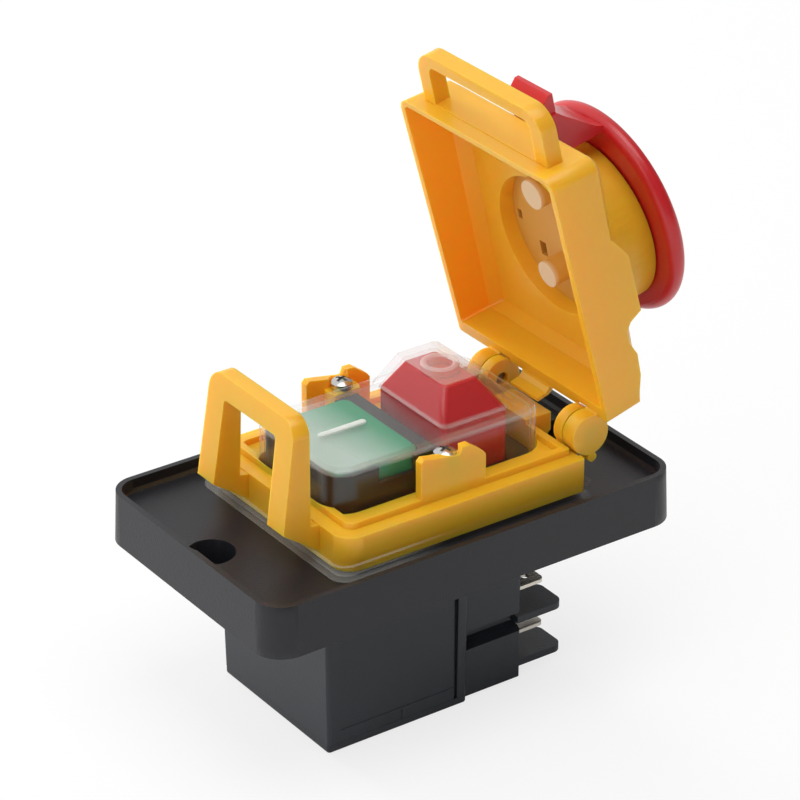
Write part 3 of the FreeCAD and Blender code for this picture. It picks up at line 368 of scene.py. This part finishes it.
def pad(x0, x1, y0, y1, z0, z1, round_r, top_r):
    """Pillow, open below: rounded rectangles of radius round_r stacked from z0 up to z1, the last ones
    drawn in by a quarter circle of radius top_r, then closed to its centre."""
    turn = np.linspace(0, 2 * np.pi, 64, endpoint=False)
    arc = np.linspace(0, np.pi / 2, 6)
    inset = np.concatenate([[0.0], top_r * (1 - np.cos(arc)), [top_r + 1.0]])
    height = np.concatenate([[z0], z1 - top_r + top_r * np.sin(arc), [z1]])
    cx, cy = (x0 + x1) / 2, (y0 + y1) / 2
    half_x, half_y = (x1 - x0) / 2 - round_r, (y1 - y0) / 2 - round_r
    reach = np.maximum(round_r - inset, 0.0)[:, None]
    shrink = np.where(inset > top_r + 0.5, 0.0, 1.0)[:, None]
    x = cx + shrink * (np.sign(np.cos(turn)) * half_x + np.cos(turn) * reach)
    y = cy + shrink * (np.sign(np.sin(turn)) * half_y + np.sin(turn) * reach)
    z = np.broadcast_to(height[:, None], x.shape)
    return np.stack([x, y, z], axis=-1) * MM


def ring(x, y, z, outer, inner, height):
    """Raised ring: a half ellipse section, `height` high, turned round the vertical line through (x, y)."""
    turn = np.linspace(0, 2 * np.pi, 96, endpoint=False)[None, :]
    arc = np.linspace(np.pi, 0, 13)[:, None]
    r = (outer + inner) / 2 + (outer - inner) / 2 * np.cos(arc)
    rise = z + height * np.sin(arc) + 0 * turn
    return np.stack([x + r * np.cos(turn), y + r * np.sin(turn), rise], axis=-1) * MM


def coil(node, wire, turns):
    """Round wire coil filling the node's box: a circle of radius `wire` / 2 carried along a helix, its
    first and last rows drawn in to the middle of the wire to close the two ends."""
    low, high = (np.array(p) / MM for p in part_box(node))
    mid = (low + high) / 2
    r = (high[0] - low[0]) / 2 - wire / 2
    steps = turns * 28 + 1
    along = np.concatenate([[0.0], np.linspace(0, 1, steps), [1.0]])[:, None]
    thick = np.concatenate([[0.0], np.full(steps, wire / 2), [0.0]])[:, None]
    angle = along * turns * 2 * np.pi
    round_wire = np.linspace(0, 2 * np.pi, 12, endpoint=False)[None, :]
    reach = r + thick * np.cos(round_wire)
    z = low[2] + wire / 2 + along * (high[2] - low[2] - wire) - thick * np.sin(round_wire)
    return np.stack([mid[0] + reach * np.cos(angle), mid[1] + reach * np.sin(angle), z], axis=-1) * MM


for node, wire, turns, joint, foot_z, keep in SPRINGS:
    wound = grid_piece(node + "_coil", coil(node, wire, turns), steel, "switch_body")
    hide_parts(node)
    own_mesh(wound)

bar = pad(BAR_X0, BAR_X1, -BAR_HALF, BAR_HALF, BOOT_TOP - BAR_SINK, BOOT_TOP + BAR_UP, BAR_R, BAR_EASE)
grid_piece("start_mark", bar, white, "switch_body")
circle = ring(RING_X, 0.0, DOME_TOP - RING_SINK, RING_OUT, RING_IN, RING_UP)
grid_piece("stop_mark", circle, frosted, "switch_body")


def soften(name, width):
    """Round the sharp edges of a node by `width` millimetres."""
    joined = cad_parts[name].modifiers.new("joined", "WELD")
    joined.merge_threshold = WELD_GAP * MM
    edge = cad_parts[name].modifiers.new("edge", "BEVEL")
    edge.width = width * MM
    edge.segments = 2
    edge.limit_method = "ANGLE"
    edge.angle_limit = math.radians(SHARP_ANGLE)
    edge.harden_normals = True


for name, width in SOFT_EDGES.items():
    soften(name, width)


def pale_floor():
    """White floor under the part that keeps its shadow.

    Where the part mirrors it, it is bright by 0.3 - 8 x + 8 y of its place in metres, held to 0..1."""
    r, z = FLOOR_HALF, cad_box[0][2]
    mesh = bpy.data.meshes.new("floor")
    mesh.from_pydata([(-r, -r, z), (r, -r, z), (r, r, z), (-r, r, z)], [], [(0, 1, 2, 3)])
    floor = bpy.data.objects.new("floor", mesh)
    bpy.context.scene.collection.objects.link(floor)
    paint = Paint("floor_white")
    path = paint.node("ShaderNodeLightPath")
    axes = paint.axes(paint.place())
    bright = path["Is Glossy Ray"] * paint.clamp(0.3 - axes["X"] * 8.0 + axes["Y"] * 8.0)
    lit = paint.node("ShaderNodeBsdfDiffuse", None, {"Color": (0.9, 0.9, 0.9, 1)})["BSDF"]
    glow = paint.node("ShaderNodeEmission", None, {"Color": (1, 1, 1, 1), "Strength": 1.0})["Emission"]
    mesh.materials.append(paint.blend(path["Is Camera Ray"] * 0.75 + bright * 0.8, lit, glow))


def white_surround():
    """White world, brighter behind and to the left.

    Side = 0.45 - 0.45 x + 0.8 y of a direction, held to 0..1."""
    world = bpy.data.worlds.new("studio")
    bpy.context.scene.world = world
    paint = Paint("studio", world)
    path = paint.node("ShaderNodeLightPath")
    seen, mirrored = path["Is Camera Ray"], path["Is Glossy Ray"]
    axes = paint.axes(paint.node("ShaderNodeTexCoord")["Generated"])
    side = paint.clamp(0.45 - axes["X"] * 0.45 + axes["Y"] * 0.8)
    power = seen + (1 - seen) * (0.2 - mirrored * 0.1 + side * (0.65 + mirrored * 0.25))
    sockets = {"Color": (1, 1, 1, 1), "Strength": power}
    back = paint.node("ShaderNodeBackground", None, sockets)["Background"]
    paint.node("ShaderNodeOutputWorld", None, {"Surface": back})


def stand(name, data, place, aim):
    """Object of this lamp or camera at one point, looking at another."""
    holder = bpy.data.objects.new(name, data)
    holder.location = place
    holder.rotation_euler = (Vector(aim) - Vector(place)).to_track_quat("-Z", "Y").to_euler()
    bpy.context.scene.collection.objects.link(holder)
    return holder


def soft_lamps():
    """Square soft boxes round the part."""
    for name, place, aim, size, watts, mirrored in LAMPS:
        lamp = bpy.data.lights.new(name, "AREA")
        lamp.size = size
        lamp.energy = watts
        stand(name, lamp, place, aim).visible_glossy = mirrored


def camera():
    """Camera at the photo's viewing angle: 35.1 degrees to the left, 28.0 above the horizon."""
    lens = bpy.data.cameras.new("photo_camera")
    lens.sensor_fit = "HORIZONTAL"
    lens.sensor_width = SENSOR
    lens.lens = FOCAL_PIXELS / PICTURE_PIXELS * SENSOR
    bpy.context.scene.camera = stand("photo_camera", lens, EYE, AIM)


pale_floor()
white_surround()
soft_lamps()
camera()
bpy.context.scene.view_settings.view_transform = "Standard"
